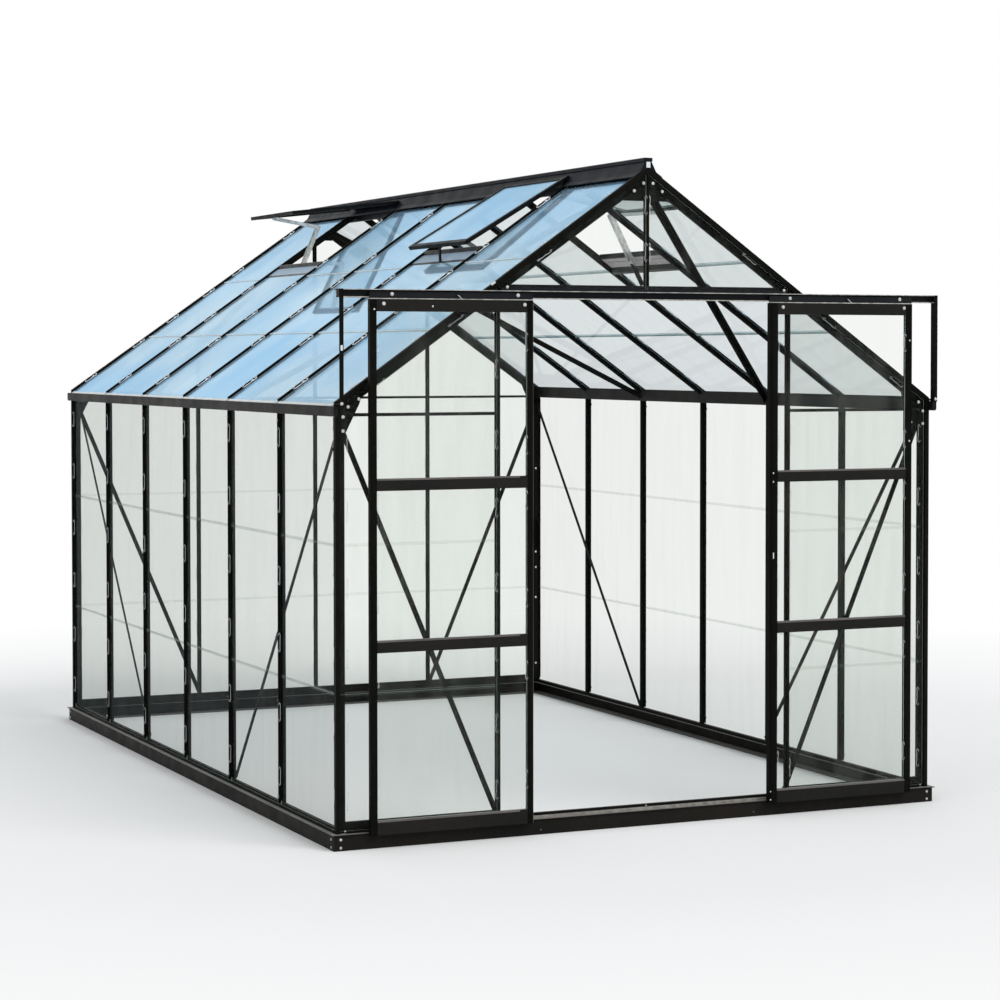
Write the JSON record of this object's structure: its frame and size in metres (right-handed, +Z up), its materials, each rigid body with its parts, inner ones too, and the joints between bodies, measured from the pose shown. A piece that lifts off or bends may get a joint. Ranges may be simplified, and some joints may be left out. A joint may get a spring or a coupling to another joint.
{
  "type": "greenhouse with sliding doors",
  "caption": "Walk-in garden greenhouse with a black aluminium frame, clear glass in lapped sheets, hinged roof vents and two sliding doors on a front track.",
  "frame": {"origin": "middle of the footprint's bounding box, at ground level", "axes": "+X to the right across the front, +Y from the front gable with the doors to the rear gable, +Z up"},
  "size_m": [2.594, 3.896, 2.5668],
  "materials": {
    "black_aluminium": "satin black powder coat, brown where the light catches it",
    "base_steel": "satin dark bronze powder coat",
    "black_plastic": "moulded matt black",
    "silver_metal": "bare mill aluminium and zinc",
    "clear_glass": "clear polished glass with green edges"
  },
  "bodies": {
    "house": {"base": "base_steel", "gable_sills": "black_aluminium", "side_sills": "black_aluminium", "corner_posts": "black_aluminium", "left_wall_bars": "black_aluminium", "right_wall_bars": "black_aluminium", "left_eave_gutter": "black_aluminium", "right_eave_gutter": "black_aluminium", "gutter_outlets": "black_plastic", "ridge_beam": "black_aluminium", "gable_rafters": "black_aluminium", "left_roof_bars": "black_aluminium", "right_roof_bars": "black_aluminium", "front_gable_posts": "black_aluminium", "rear_gable_posts": "black_aluminium", "front_cross_beam": "black_aluminium", "eave_rails": "black_aluminium", "door_track": "black_aluminium", "track_struts": "black_aluminium", "gable_gussets": "black_aluminium", "gable_braces": "black_aluminium", "side_braces": "black_aluminium", "roof_braces": "black_aluminium", "left_wall_glass": "clear_glass", "right_wall_glass": "clear_glass", "front_gable_glass": "clear_glass", "rear_gable_glass": "clear_glass", "left_roof_glass": "clear_glass", "right_roof_glass": "clear_glass", "vent_frames": "black_aluminium", "vent_glass": "clear_glass", "vent_sills": "black_aluminium", "vent_openers": "silver_metal", "opener_cylinders": "black_aluminium", "vent_stays": "black_aluminium"},
    "door_left": {"door_left_stiles": "black_aluminium", "door_left_rails": "black_aluminium", "door_left_glass": "clear_glass", "door_left_rollers": "black_aluminium", "door_left_handle": "black_plastic"},
    "door_right": {"door_right_stiles": "black_aluminium", "door_right_rails": "black_aluminium", "door_right_glass": "clear_glass", "door_right_rollers": "black_aluminium"}
  },
  "joints": [
    {"name": "door_left_slide", "type": "slide", "parent": "house", "child": "door_left", "axis": [1, 0, 0], "range_m": [-0.09, 0.485]},
    {"name": "door_right_slide", "type": "slide", "parent": "house", "child": "door_right", "axis": [1, 0, 0], "range_m": [-0.505, 0.09]}
  ]
}
